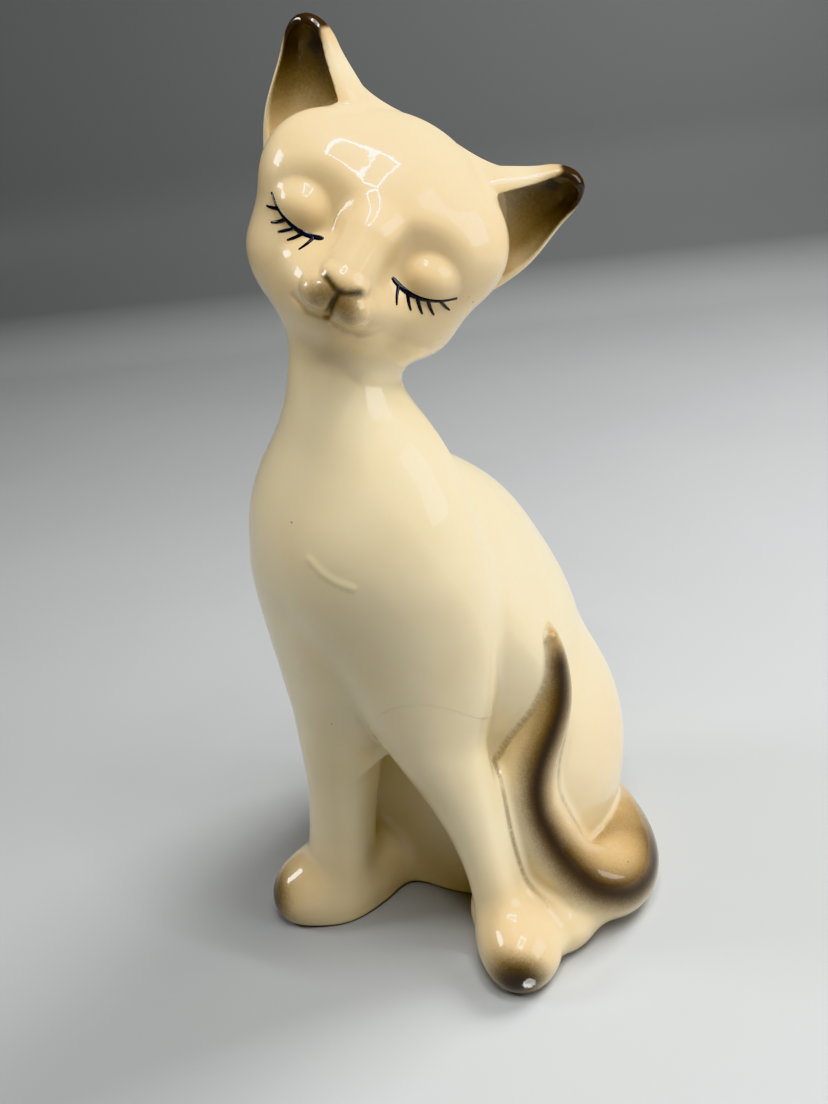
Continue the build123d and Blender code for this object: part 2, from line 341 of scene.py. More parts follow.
# The mouth's line and the cleft below the nose, as (x, z) on the face
SMILE = [(-7.0, -12.6), (-3.6, -13.4), (-1.4, -12.9), (0, -12.3),
         (1.4, -12.9), (3.6, -13.4), (6.2, -13.0), (8.6, -11.6), (10.5, -9.6)]
CLEFT = [(0, -7.2), (0, -12.3)]
NOSE_WINGS = [(-3.2, -6.0), (-1.8, -6.5), (0, -7.3), (1.8, -6.5), (3.2, -5.6)]
# Ovals of the face: centre, radii
SKULL = ((0.3, 2, 3.6), (23, 21, 22))
TEMPLE = ((14.0, -3.5, 8.0), (11, 11, 11))
JAW = ((0.6, 0.5, -8), (21, 15, 11))
CHIN = ((0, -8.5, -13.0), (9, 8.5, 5.4))
SOCKET = ((12.4, -19.0, 1.6), (8.2, 4.4, 7.0))
MUZZLE = ((0, -14.8, -8.6), (9.2, 7.4, 6.0))
LID = ((12.6, -11.2, 1.9), (5.9, 5.0, 4.9))
LIP = ((3.25, -20.7, -9.0), (3.6, 3.6, 3.3))
NOSE_PAD = ((0, -21.7, -5.2), (4.5, 3.0, 2.5))


def smile_fade(x):
    """1 below the nose, falling to 0 at the corners of the mouth."""
    return 1 - smooth_step(np.abs(x), 5.5, 10.5)


def face_field(q):
    """The skull with its face, without ears."""
    x, y, z = q[:, 0], q[:, 1], q[:, 2]
    mirrored = mirror(q)
    f = egg(q, *SKULL)
    f = soft_min(f, egg(mirrored, *TEMPLE), 5)
    f = soft_min(f, egg(q, *JAW), 7)
    f = soft_min(f, egg(q, *CHIN), 6)
    f = soft_max(f, -egg(mirrored, *SOCKET), 4.5)
    f = soft_min(f, egg(q, *MUZZLE), 5)
    f = soft_min(f, BRIDGE(q).astype(q.dtype), 4.5)
    f = soft_min(f, egg(mirrored, *LID), 1.3)
    f = soft_min(f, egg(mirrored, *LIP), 1.0)
    f = soft_min(f, egg(q, *NOSE_PAD), 0.8)
    front = smooth_step(-y, 8, 13)
    f = f + front * smile_fade(x) * 0.5 * gauss(line_distance(x, z, SMILE) / 0.75)
    f = f + front * 0.6 * gauss(line_distance(x, z, CLEFT) / 0.6)
    return f


def torso_fields(p):
    chest = column(p, chest_curve, NECK_TOP + 3, 54.0)
    rump = column(p, rump_curve, 135.0, -6.0)
    rump = soft_min(rump, egg(mirror(p), *HAUNCH), HAUNCH_BLEND)
    return chest, rump


def leg_fields(p, side):
    shank = column(p, leg_curves[side], 104.0, -6.0)
    paw = egg(p, PAW * (side, 1, 1), PAW_RADII, side * TOE_OUT)
    return soft_min(shank, paw, 6.0)


def hind_field(p, side):
    paw = egg(p, HIND[side], HIND_RADII, side * TOE_OUT)
    return soft_min(paw, egg(p * np.array((side, 1, 1), p.dtype), *WEB), 4.0)


PIECES = ("torso_shell", "head_shell", "left_ear", "right_ear", "left_foreleg", "right_foreleg",
          "left_hind_paw", "right_hind_paw", "tail")
WALL = 4.0
FLOOR = 5.0
DRAIN_RADIUS = 5.5
DRAIN_AT = (0.0, 14.0)
CAVITY_TOP = 146.0
CHIP_AT = PAW + (6.2, -10.3, -0.6)
CHIP_RADII = (1.6, 1.1, 1.2)
FAR = 60.0
OVERLAP = 0.3  # how far each piece reaches under its neighbour's skin at a luted joint
# A run of the glaze on the chest
RIPPLE = ((-0.6, -49.3, 114.8), (1.9, -49.4, 112.4), (4.9, -49.1, 110.5), (7.9, -48.6, 109.5))
# The soft fold that runs from the fork of the forelegs up across the chest
LEG_FOLD = ((-3, -27, 55.7), (-0.4, -38.9, 74.7), (-4.3, -44.3, 89), (-10.8, -46.0, 97.0))
LEG_MARGIN = 34.0  # a foreleg runs on inside the chest, well above its own CAD box
box_low = {n: low(n) for n in PIECES}
box_high = {n: high(n) for n in PIECES}


def near_piece(p, name, margin=14.0):
    return ((p > box_low[name] - margin) & (p < box_high[name] + margin)).all(1)


def part_fields(p):
    """Each piece's own distance field, FAR where the point is well away from it."""
    out = {n: np.full(len(p), FAR, p.dtype) for n in PIECES}
    chest = np.full(len(p), FAR, p.dtype)
    rump = np.full(len(p), FAR, p.dtype)
    m = near_piece(p, "torso_shell")
    chest[m], rump[m] = torso_fields(p[m])
    for name, side in (("left_foreleg", 1), ("right_foreleg", -1)):
        m = near_piece(p, name, LEG_MARGIN)
        out[name][m] = leg_fields(p[m], side)
    for name, side in (("left_hind_paw", 1), ("right_hind_paw", -1)):
        m = near_piece(p, name)
        out[name][m] = hind_field(p[m], side)
    m = near_piece(p, "tail", 8.0)
    out["tail"][m] = tail_rope(p[m])
    m = near_piece(p, "head_shell")
    out["head_shell"][m] = face_field(to_head(p[m]))
    for name, side in (("left_ear", 1), ("right_ear", -1)):
        m = near_piece(p, name)
        out[name][m] = ear_field(to_head(p[m]), side)
    out["torso_shell"] = np.minimum(chest, rump)
    return out, chest, rump


def whole_field(p, parts=None):
    """The whole figurine with its luted joints smoothed over, and the casting's cavity."""
    d, chest, rump = part_fields(p) if parts is None else parts
    legs = soft_min(d["left_foreleg"], d["right_foreleg"], 2.5)
    front = soft_min(chest, legs, 9.0)
    rear = soft_min(soft_min(rump, d["left_hind_paw"], 4.0), d["right_hind_paw"], 9.0)
    right_foot = smooth_step(-p[:, 2], -42, -18) * smooth_step(-p[:, 0], 0, 8)
    lower = smooth_step(-p[:, 2], -62, -36)
    above_paws = smooth_step(p[:, 2], 12, 26)
    f = soft_min(front, rear, 2.5 + 2.5 * lower * above_paws + 4.0 * right_foot)
    m = (p[:, 1] < -20) & (p[:, 2] > 48) & (p[:, 2] < 120)
    f[m] += 0.5 * gauss(path_distance(p[m], LEG_FOLD) / 4.6)
    f[m] -= 0.25 * gauss(path_distance(p[m], RIPPLE) / 0.9)
    near_leg = smooth_step(-d["left_foreleg"], -5, -1.5)
    f = soft_min(f, d["tail"], 2.2 + 1.6 * lower + 3.0 * near_leg)
    head = d["head_shell"]
    for name, side in (("left_ear", 1), ("right_ear", -1)):
        into = np.full(len(p), 0.0, p.dtype)
        m = near_piece(p, name)
        into[m] = ear_frame(to_head(p[m]), side)[:, 1]
        head = soft_min(head, d[name], 1.2 + 8.0 * smooth_step(into, -1, 6))
    f = soft_min(f, head, 5.0)
    shell = soft_min(chest, rump, 4.0)
    cavity = np.maximum(shell + WALL, np.maximum(SHELF + FLOOR - p[:, 2], p[:, 2] - CAVITY_TOP))
    drain = np.hypot(p[:, 0] - DRAIN_AT[0], p[:, 1] - DRAIN_AT[1]) - DRAIN_RADIUS
    drain = np.maximum(drain, p[:, 2] - FLOOR - 3)
    f = soft_max(f, -cavity, 1.0)
    f = soft_max(f, -drain, 1.0)
    f = soft_max(f, -egg(p, CHIP_AT, CHIP_RADII), 0.3)
    return soft_max(f, SHELF - p[:, 2], 1.6)


def path_distance(p, points):
    """Distance to a line through a few points in space."""
    best = np.full(len(p), 1e9, p.dtype)
    for start, end in zip(points[:-1], points[1:]):
        start = np.array(start, p.dtype)
        along = np.array(end, p.dtype) - start
        t = np.clip(((p - start) @ along) / (along @ along), 0, 1)
        best = np.minimum(best, np.linalg.norm(p - start - t[:, None] * along, axis=1))
    return best


def piece_field(p, name):
    """(field of the whole, field of the cut between this piece and its neighbours)."""
    parts = part_fields(p)
    f = whole_field(p, parts)
    d = parts[0]
    others = np.min([d[n] for n in PIECES if n != name], axis=0)
    return f, 0.5 * (d[name] - others) - OVERLAP


def gradient(function, p, step=0.12):
    g = np.empty_like(p)
    for axis in range(3):
        e = np.zeros(3)
        e[axis] = step
        g[:, axis] = (function(p + e) - function(p - e)) / (2 * step)
    return g


# ------------------------------------------------------------------ from fields to meshes
GRID_MARGIN = 5.0  # how far a piece's grid reaches past its CAD box
BLOCK = 4  # fine cells along one coarse cell
CHUNK = 400000  # points worked out at a time


def blow_up(cells):
    """The fine cells of every coarse cell."""
    for axis in range(3):
        cells = np.repeat(cells, BLOCK, axis)
    return cells


def field_mesh(name, size):
    """Quads of one piece, found on a grid over its CAD box and then laid exactly on the fields."""
    start = box_low[name] - GRID_MARGIN
    counts = np.ceil((box_high[name] + GRID_MARGIN - start) / size).astype(int)
    counts = (counts + BLOCK - 1) // BLOCK * BLOCK + 1
    coarse = (counts - 1) // BLOCK + 1
    axes = [start[i] + BLOCK * size * np.arange(coarse[i]) for i in range(3)]
    p = np.stack(np.meshgrid(*axes, indexing="ij"), -1).reshape(-1, 3).astype(np.float32)
    f, g = piece_field(p, name)
    h = np.maximum(f, g).reshape(coarse)
    near = np.abs(h) < BLOCK * size * 1.3 + 0.8
    cells = np.zeros(coarse - 1, bool)
    for i in (0, 1):
        for j in (0, 1):
            for k in (0, 1):
                part = near[i : i + coarse[0] - 1, j : j + coarse[1] - 1, k : k + coarse[2] - 1]
                cells |= part
    inside = h[:-1, :-1, :-1] < 0
    full = np.full(counts, FAR, np.float32)
    full[:-1, :-1, :-1] = np.where(blow_up(inside), -FAR, FAR)
    fine = np.zeros(counts, bool)
    fine[:-1, :-1, :-1] = blow_up(cells)
    index = np.argwhere(fine)
    p = (start + index * size).astype(np.float32)
    values = np.empty(len(p), np.float32)
    for i in range(0, len(p), CHUNK):
        f, g = piece_field(p[i : i + CHUNK], name)
        values[i : i + CHUNK] = np.maximum(f, g)
    full[tuple(index.T)] = values
    full = np.clip(full, -3 * size, 3 * size)
    grid = openvdb.FloatGrid(3 * size)
    grid.copyFromArray(full)
    points, quads = grid.convertToQuads()
    points = start + points.astype(float) * size
    quads = quads.astype(np.int64)
    return settle(name, points, quads, size)


def settle(name, points, quads, size):
    """Lays vertices on the skin, on the cut, or on both where they meet, and finds corner normals."""
    def cut(p):
        return piece_field(p, name)[1]

    f, g = piece_field(points, name)
    on_skin = f > g
    edge = np.maximum(np.abs(f), np.abs(g)) < 0.75 * size
    for _ in range(3):
        f, g = piece_field(points, name)
        move = np.zeros_like(points)
        m = on_skin | edge
        gf = gradient(whole_field, points[m])
        step = -f[m] / np.maximum((gf * gf).sum(1), 0.05)
        move[m] = gf * step[:, None]
        m = ~on_skin | edge
        gg = gradient(cut, points[m])
        step = -g[m] / np.maximum((gg * gg).sum(1), 0.05)
        move[m] += gg * step[:, None]
        length = np.linalg.norm(move, axis=1, keepdims=True)
        points = points + move * np.minimum(1, 0.5 * size / np.maximum(length, 1e-9))
    normal = gradient(whole_field, points)
    normal /= np.maximum(np.linalg.norm(normal, axis=1, keepdims=True), 1e-9)
    centre = points[quads].mean(1)
    f, g = piece_field(centre, name)
    cut_faces = np.abs(g) < np.abs(f)
    a = points[quads[:, 2]] - points[quads[:, 0]]
    b = points[quads[:, 3]] - points[quads[:, 1]]
    flat = np.cross(a, b)
    flat /= np.maximum(np.linalg.norm(flat, axis=1, keepdims=True), 1e-9)
    out = (normal[quads].mean(1) * flat).sum(1)
    if np.median(out[~cut_faces]) < 0:
        quads = quads[:, ::-1]
        flat = -flat
    corner = normal[quads]
    corner[cut_faces] = flat[cut_faces][:, None, :]
    against = (corner * flat[:, None, :]).sum(2) < 0.2
    corner[against] = np.repeat(flat[:, None, :], 4, 1)[against]
    return points, quads, corner


def mesh_object(name, points, faces, corner=None, layers=None):
    """A Blender mesh in metres, with custom corner normals and named point layers."""
    mesh = bpy.data.meshes.new(name)
    mesh.vertices.add(len(points))
    mesh.vertices.foreach_set("co", (points / MM).astype(np.float32).ravel())
    mesh.loops.add(faces.size)
    mesh.loops.foreach_set("vertex_index", faces.astype(np.int32).ravel())
    mesh.polygons.add(len(faces))
    mesh.polygons.foreach_set("loop_start", (np.arange(len(faces)) * faces.shape[1]).astype(np.int32))
    mesh.update(calc_edges=True)
    mesh.validate()
    mesh.shade_smooth()
    if corner is not None and len(mesh.loops) == faces.size:
        mesh.normals_split_custom_set(corner.reshape(-1, 3).tolist())
    for layer, values in (layers or {}).items():
        attribute = mesh.attributes.new(layer, "FLOAT", "POINT")
        attribute.data.foreach_set("value", values.astype(np.float32))
    piece = bpy.data.objects.new(name, mesh)
    bpy.context.scene.collection.objects.link(piece)
    return piece


# ------------------------------------------------------------------ airbrushed colour, with painted crease shade and a painted highlight on the tail tip, as masks on the skin
class Spray:
    """What the ceramist sprayed at each point, with painted crease shade along the tail laid into brown and
    gold: brown (dark), gold (warm brown) and tan (blush).
    """

    def __init__(self, count):
        self.layers = {name: np.zeros(count) for name in ("brown", "gold", "tan")}

    def lay(self, name, amount, where=slice(None)):
        """Sprays up to the given amount, without thinning what is there."""
        layer = self.layers[name]
        layer[where] = np.maximum(layer[where], amount)

    def add(self, name, amount):
        self.layers[name] = self.layers[name] + amount


def cloud_at(p, centre, radii):
    """A soft cloud of spray: 1 at its centre, falling off with the radii."""
    return np.exp(-(((p - centre) / radii) ** 2).sum(1))


def spray_face(spray, p, q):
    head = smooth_step(-face_field(q), -9, -1) * smooth_step(p[:, 2], 143, 158)
    mirrored = mirror(q)
    x, z = q[:, 0], q[:, 2]
    spray.lay("tan", 0.62 * head)
    spray.add("tan", -0.35 * head * cloud_at(q, (1, 2, 22), (15, 14, 9)))
    spray.add("tan", 0.25 * head * cloud_at(mirrored, (8, -18, 6), (8, 9, 6)))
    spray.add("tan", 0.22 * head * cloud_at(mirrored, (12.5, -16, -1.5), (7.5, 6, 5.5)))

    spray.lay("brown", 0.55 * cloud_at(mirrored, (2.9, -23.8, -8.8), (2.5, 3.0, 2.4)))
    drawn = np.minimum(line_distance(x, z, NOSE_WINGS), line_distance(x, z, CLEFT))
    spray.lay("brown", 0.88 * gauss(drawn / 0.75) * smooth_step(-q[:, 1], 19.5, 22))
    spray.lay("gold", 0.8 * cloud_at(mirrored, (0, -23, -8.0), (5.4, 5, 3.8)))
    smile = gauss(line_distance(x, z, SMILE) / 0.8) * smooth_step(-q[:, 1], 10, 14)
    spray.lay("gold", 0.25 * smile * smile_fade(x) * (z < -7))


def spray_ear(spray, p, q, name, side):
    m = near_piece(p, name, 4.0)
    e = ear_frame(q[m], side)
    wide, deep, _, wall = EAR_SHAPE(e[:, 2].astype(float)).T
    beyond_hollow = oval_share(e[:, 0], e[:, 1], wide - wall, deep - wall) * (wide - wall)
    on_ear = ear_field(q[m], side) < 1.0
    inner = (1 - smooth_step(beyond_hollow, 0.1, 0.7)) * on_ear
    up = e[:, 2] / EAR_LENGTH
    spray.lay("brown", 0.98 * smooth_step(up, 0.02, 0.8) * inner, m)
    spray.lay("brown", 0.3 * smooth_step(up, 0.74, 1.0) * on_ear, m)
    spray.lay("gold", 0.5 * smooth_step(up, -0.1, 0.6) * inner, m)
    spray.lay("gold", 0.75 * smooth_step(up, 0.5, 0.9) * on_ear, m)


def oval_share(x, y, a, b):
    """0 on an oval of half widths a and b, less inside it, more outside."""
    return np.sqrt((x / np.maximum(a, 0.3)) ** 2 + (y / np.maximum(b, 0.3)) ** 2) - 1


# The dark band along the tail, by row of TAIL: where it lies across (share of the tail's radius towards the
# back), how wide it is, and how far the gold reaches on the side towards the haunch and on the other side
BAND_CENTRE = ((4.1, 4.6, 5.2, 5.9, 7.5, 8.4, 9.2, 10, 11, 13),
               (0.5, 0.32, 0.19, 0.12, 0.04, -0.1, -0.2, -0.25, -0.15, 0))
BAND_WIDTH = ((5, 8, 10, 12), (0.46, 0.40, 0.48, 0.8))
GOLD_INNER = ((6, 8), (1.7, 1.0))
GOLD_OUTER = ((5, 8.5, 10), (0.52, 0.45, 1.2))


def spray_tail(spray, p):
    m = near_piece(p, "tail", 4.0)
    t, c = tail_rope.nearest(p[m].astype(float))
    away = p[m] - c[:, :3]
    radius = c[:, 3]
    on_tail = smooth_step(-np.linalg.norm(away, axis=1) / radius, -1.25, -1.05)
    outward = p[m] * (1, 1, 0) - (0, 10, 0)
    outward /= np.maximum(np.linalg.norm(outward, axis=1, keepdims=True), 1e-6)
    along = tail_rope.curve.slope(t)[:, :3]
    along /= np.maximum(np.linalg.norm(along, axis=1, keepdims=True), 1e-6)
    across = (away * np.cross(along, outward)).sum(1) / radius - np.interp(t, *BAND_CENTRE)
    # From row 11.6 to the tip the brown band fades out: a painted highlight on the tail's tip.
    length = smooth_step(t, 2.6, 4.4) * (1 - 0.85 * smooth_step(t, 11.6, 13))
    spray.lay("brown", 0.97 * gauss(across / np.interp(t, *BAND_WIDTH)) * length * on_tail, m)
    reach = np.where(across > 0, np.interp(t, *GOLD_INNER), np.interp(t, *GOLD_OUTER))
    spray.lay("gold", 0.92 * gauss(across / reach) * smooth_step(t, 1.5, 3.5) * on_tail, m)
    parts, chest, rump = part_fields(p[m])
    rest = np.minimum(np.minimum(chest, rump), parts["left_foreleg"])
    # A darker line along the crease where the tail meets the body and foreleg: part airbrush overspray, part
    # painted crease shade.
    overspray_and_crease_shade = gauss((parts["tail"] - rest) / 0.85) * smooth_step(t, 6.0, 7.0)
    spray.lay("brown", 0.42 * overspray_and_crease_shade, m)
    spray.lay("gold", 0.6 * overspray_and_crease_shade, m)


RIGHT_PAW = PAW * (-1, 1, 1)
# Sprayed toes: centre, radii, how dark
TOES = ((PAW + (3.8, -11.3, 0.2), (7.6, 5.6, 5.8), 0.97),
        (RIGHT_PAW + (-7.0, -9.8, 1.2), (6.4, 6.4, 6.8), 0.85))


def spray_feet(spray, p):
    for toe, radii, strength in TOES:
        reach = (((p - toe) / radii) ** 2).sum(1)
        spray.lay("brown", strength * np.exp(-(reach**1.6)))
        spray.lay("gold", 0.75 * np.exp(-((reach / 1.9) ** 1.3)))
    for paw in (PAW, RIGHT_PAW):
        spray.lay("tan", 0.85 * cloud_at(p, paw + (0, -2, 6), (13, 14, 12)))
    spray.lay("tan", 0.55 * cloud_at(p, (34, 14, 40), (14, 18, 20)))
    spray.lay("tan", 0.38 * smooth_step(-p[:, 2], -26, -2))


def airbrush(p):
    """The point layers of a piece: the three sprays (brown and gold also carry painted crease shade along the
    tail), and where the glaze is chipped off to the bare clay.
    """
    q = to_head(p)
    spray = Spray(len(p))
    spray_face(spray, p, q)
    spray_ear(spray, p, q, "left_ear", 1)
    spray_ear(spray, p, q, "right_ear", -1)
    spray_tail(spray, p)
    spray_feet(spray, p)
    layers = {name: np.clip(layer, 0, 1) for name, layer in spray.layers.items()}
    layers["bare"] = smooth_step(-egg(p, CHIP_AT, np.array(CHIP_RADII) + 0.15), -0.12, 0.05)
    return layers


# ------------------------------------------------------------------ materials
def colour_node(nodes, rgb):
    node = nodes.new("ShaderNodeRGB")
    node.outputs[0].default_value = (*rgb, 1)
    return node.outputs[0]


def math_node(tree, operation, a, b=None, clamp=False):
    node = tree.nodes.new("ShaderNodeMath")
    node.operation = operation
    node.use_clamp = clamp
    for socket, value in zip(node.inputs, (a, b)):
        if value is None:
            continue
        if isinstance(value, (int, float)):
            socket.default_value = value
        else:
            tree.links.new(value, socket)
    return node.outputs[0]


def mix_colour(tree, factor, a, b):
    node = tree.nodes.new("ShaderNodeMix")
    node.data_type = "RGBA"
    tree.links.new(factor, node.inputs["Factor"])
    tree.links.new(a, node.inputs[6])
    tree.links.new(b, node.inputs[7])
    return node.outputs[2]


def noise_node(tree, where, scale, detail=2.0, roughness=0.5):
    node = tree.nodes.new("ShaderNodeTexNoise")
    node.inputs["Scale"].default_value = scale
    node.inputs["Detail"].default_value = detail
    node.inputs["Roughness"].default_value = roughness
    tree.links.new(where, node.inputs["Vector"])
    return node.outputs["Fac"]


def map_range(tree, value, a, b, c, d):
    node = tree.nodes.new("ShaderNodeMapRange")
    tree.links.new(value, node.inputs["Value"])
    for name, number in zip(("From Min", "From Max", "To Min", "To Max"), (a, b, c, d)):
        node.inputs[name].default_value = number
    return node.outputs["Result"]


IVORY = (0.80, 0.69, 0.46)
IVORY_POOLED = (0.75, 0.61, 0.36)
BISQUE = (0.86, 0.84, 0.79)
PINHOLE = (0.12, 0.075, 0.03)
# Spray colours in the order they lie: layer, colour, how grainy its edge is
SPRAYS = (("tan", (0.74, 0.545, 0.29), 0.8),
          ("gold", (0.36, 0.225, 0.085), 0.9),
          ("brown", (0.020, 0.009, 0.0035), 1.1))
# Heights of the glaze's surface, in metres
RIPPLE_HEIGHT = 0.00022
PEEL_HEIGHT = 0.000012
PINHOLE_DEPTH = 0.00008
COAT = 0.8


def glaze_material(name):
    """Airbrushed underglaze colour beneath a thick clear glaze, with the small faults of hand work."""
    material = bpy.data.materials.new(name)
    material.use_nodes = True
    tree = material.node_tree
    nodes, links = tree.nodes, tree.links
    shader = nodes["Principled BSDF"]
    where = nodes.new("ShaderNodeTexCoord").outputs["Object"]

    def layer(title):
        node = nodes.new("ShaderNodeAttribute")
        node.attribute_name = title
        return node.outputs["Fac"]

    cloud = noise_node(tree, where, 38, 3)
    spray = noise_node(tree, where, 1900, 2)
    mottle = noise_node(tree, where, 210, 3)

    def sprayed(title, spread):
        mask = layer(title)
        edge = math_node(tree, "MULTIPLY", mask, math_node(tree, "SUBTRACT", 1.0, mask))
        grain = math_node(tree, "SUBTRACT", spray, 0.5)
        uneven = math_node(tree, "MULTIPLY", math_node(tree, "SUBTRACT", mottle, 0.5), 0.5)
        both = math_node(tree, "ADD", math_node(tree, "MULTIPLY", grain, spread), uneven)
        return math_node(tree, "ADD", mask, math_node(tree, "MULTIPLY", edge, both), clamp=True)

    body = mix_colour(tree, map_range(tree, cloud, 0.35, 0.7, 0.0, 0.55),
                      colour_node(nodes, IVORY), colour_node(nodes, IVORY_POOLED))
    for title, colour, spread in SPRAYS:
        body = mix_colour(tree, sprayed(title, spread), body, colour_node(nodes, colour))

    speck = nodes.new("ShaderNodeTexVoronoi")
    speck.inputs["Scale"].default_value = 230
    links.new(where, speck.inputs["Vector"])
    dot = map_range(tree, speck.outputs["Distance"], 0.035, 0.06, 1.0, 0.0)
    picked = nodes.new("ShaderNodeSeparateColor")
    links.new(speck.outputs["Color"], picked.inputs[0])
    rare = map_range(tree, picked.outputs[0], 0.86, 0.87, 0.0, 1.0)
    pinhole = math_node(tree, "MULTIPLY", dot, rare)
    body = mix_colour(tree, math_node(tree, "MULTIPLY", pinhole, 0.75), body, colour_node(nodes, PINHOLE))

    bare = layer("bare")
    body = mix_colour(tree, bare, body, colour_node(nodes, BISQUE))
    links.new(body, shader.inputs["Base Color"])

    shader.inputs["IOR"].default_value = 1.5
    rough = map_range(tree, mottle, 0.3, 0.7, 0.30, 0.42)
    links.new(rough, shader.inputs["Roughness"])
    shader.inputs["Specular IOR Level"].default_value = 0.2
    links.new(math_node(tree, "SUBTRACT", COAT, bare, clamp=True), shader.inputs["Coat Weight"])
    links.new(map_range(tree, cloud, 0.3, 0.75, 0.025, 0.06), shader.inputs["Coat Roughness"])
    shader.inputs["Coat IOR"].default_value = 1.48
    shader.inputs["Subsurface Weight"].default_value = 0.12
    shader.inputs["Subsurface Radius"].default_value = (0.0035, 0.0024, 0.0012)
    shader.inputs["Subsurface Scale"].default_value = 0.6

    ripple = noise_node(tree, where, 95, 1)
    peel = noise_node(tree, where, 700, 1)
    ripple_height = math_node(tree, "MULTIPLY", ripple, RIPPLE_HEIGHT)
    height = math_node(tree, "ADD", ripple_height, math_node(tree, "MULTIPLY", peel, PEEL_HEIGHT))
    height = math_node(tree, "SUBTRACT", height, math_node(tree, "MULTIPLY", pinhole, PINHOLE_DEPTH))
    bump = nodes.new("ShaderNodeBump")
    bump.inputs["Strength"].default_value = 1.0
    bump.inputs["Distance"].default_value = 1.0
    links.new(height, bump.inputs["Height"])
    links.new(bump.outputs["Normal"], shader.inputs["Coat Normal"])
    links.new(bump.outputs["Normal"], shader.inputs["Normal"])
    return material


ENAMEL = (0.006, 0.006, 0.009)
ENAMEL_THIN = (0.02, 0.022, 0.04)


def enamel_material(name):
    """Glossy black overglaze brushwork, a little blue where it lies thin."""
    material = bpy.data.materials.new(name)
    material.use_nodes = True
    tree = material.node_tree
    shader = tree.nodes["Principled BSDF"]
    where = tree.nodes.new("ShaderNodeTexCoord").outputs["Object"]
    thin = noise_node(tree, where, 900, 2)
    body = mix_colour(tree, map_range(tree, thin, 0.4, 0.7, 0.0, 1.0),
                      colour_node(tree.nodes, ENAMEL), colour_node(tree.nodes, ENAMEL_THIN))
    tree.links.new(body, shader.inputs["Base Color"])
    tree.links.new(map_range(tree, thin, 0.3, 0.7, 0.14, 0.3), shader.inputs["Roughness"])
    bump = tree.nodes.new("ShaderNodeBump")
    bump.inputs["Distance"].default_value = 0.00005
    tree.links.new(thin, bump.inputs["Height"])
    tree.links.new(bump.outputs["Normal"], shader.inputs["Normal"])
    return material


# ------------------------------------------------------------------ the luted pieces
SLOTS = {entry["node"]: entry["material_slot"] for entry in frame["record"]["subparts"]}
glazes = {slot: glaze_material(slot) for slot in sorted(set(SLOTS.values())) if slot != "lash_enamel"}
# Size of a grid cell, in millimetres
GRID = {"torso_shell": 0.62, "head_shell": 0.42, "left_ear": 0.36, "right_ear": 0.36}
GRID_ELSEWHERE = 0.5
GRID_SCALE = 1.0


def hand_over(piece, node, material):
    """Gives a piece its material and its body, and hides the CAD node it stands for."""
    piece.data.materials.append(material)
    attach(piece, "root")
    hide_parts(node)


for name in PIECES:
    points, quads, corner = field_mesh(name, GRID.get(name, GRID_ELSEWHERE) * GRID_SCALE)
    piece = mesh_object(name + "_glazed", points, quads, corner, airbrush(points))
    hand_over(piece, name, glazes[SLOTS[name]])
    print(name, len(points), "points")


# ------------------------------------------------------------------ the lashes, raised brush strokes
def onto_face(x, z):
    """Points of the face, in the head's frame, straight behind the given x and z."""
    q = np.stack([x, np.full_like(x, -34.0), z], 1)
    for _ in range(60):
        world = q @ HEAD_AXES.T + HEAD_AT
        q[:, 1] += 0.8 * whole_field(world)
    return q @ HEAD_AXES.T + HEAD_AT


def stroke(line, widths, height=0.22, sides=10):
    """A flattened brush stroke along a line of (x, z) points on the face: its points and quads."""
    line = np.array(line, float)
    widths = np.array(widths, float)
    p = onto_face(line[:, 0], line[:, 1])
    normal = gradient(whole_field, p)
    normal /= np.linalg.norm(normal, axis=1, keepdims=True)
    along = np.gradient(p, axis=0)
    along /= np.linalg.norm(along, axis=1, keepdims=True)
    across = np.cross(along, normal)
    angle = np.linspace(0, 2 * np.pi, sides, endpoint=False)
    ring = widths[:, None, None] / 2 * np.cos(angle)[None, :, None] * across[:, None, :]
    tall = height * np.minimum(1, widths / 0.5)
    ring = ring + tall[:, None, None] * np.sin(angle)[None, :, None] * normal[:, None, :]
    points = (p[:, None, :] + ring).reshape(-1, 3)
    quads = []
    for i in range(len(p) - 1):
        for j in range(sides):
            k = (j + 1) % sides
            quads.append((i * sides + j, i * sides + k, (i + 1) * sides + k, (i + 1) * sides + j))
    last = (len(p) - 1) * sides
    for j in range(sides // 2 - 1):
        quads.append((sides - 1 - j, sides - 2 - j, j + 1, j))
        quads.append((last + j, last + j + 1, last + sides - 2 - j, last + sides - 1 - j))
    return points, quads


# The lash line lies along the closed lid, as (x, z) on the face
LASH_LINE = Curve(np.linspace(0, 1, 6),
                  [(7.0, -1.2), (9.2, -2.0), (11.7, -2.3), (14.2, -1.9), (16.8, -0.8), (19.3, 1.0)])
LASH_LINE_WIDTH = 1.1
# Each lash: share of the line where it starts, length, heading in degrees
LASHES = ((0.16, 3.5, 292), (0.33, 3.3, 308), (0.49, 3.2, 314), (0.64, 3.1, 319), (0.80, 2.6, 340))
LASH_WIDTH = 0.70
LASH_CURL = 10  # a lash turns from this many degrees below its heading to as many above
LASH_POINTS = 12


def eye_strokes(side):
    share = np.linspace(0, 1, 36)
    width = LASH_LINE_WIDTH * np.interp(share, (0, 0.06, 0.3, 0.7, 1), (0.45, 0.95, 1.0, 0.8, 0.45))
    strokes = [(LASH_LINE(share) * (side, 1), width)]
    for start, length, heading in LASHES:
        share = np.linspace(0, 1, LASH_POINTS)
        a = np.radians(heading - LASH_CURL + 2 * LASH_CURL * share)
        step = length / (LASH_POINTS - 1) * np.stack([np.cos(a), np.sin(a)], 1)
        line = LASH_LINE(np.array([start])) + np.cumsum(step, 0) - step[0]
        width = LASH_WIDTH * np.interp(share, (0, 0.6, 1), (1.15, 0.9, 0.55))
        strokes.append((line * (side, 1), width))
    return strokes


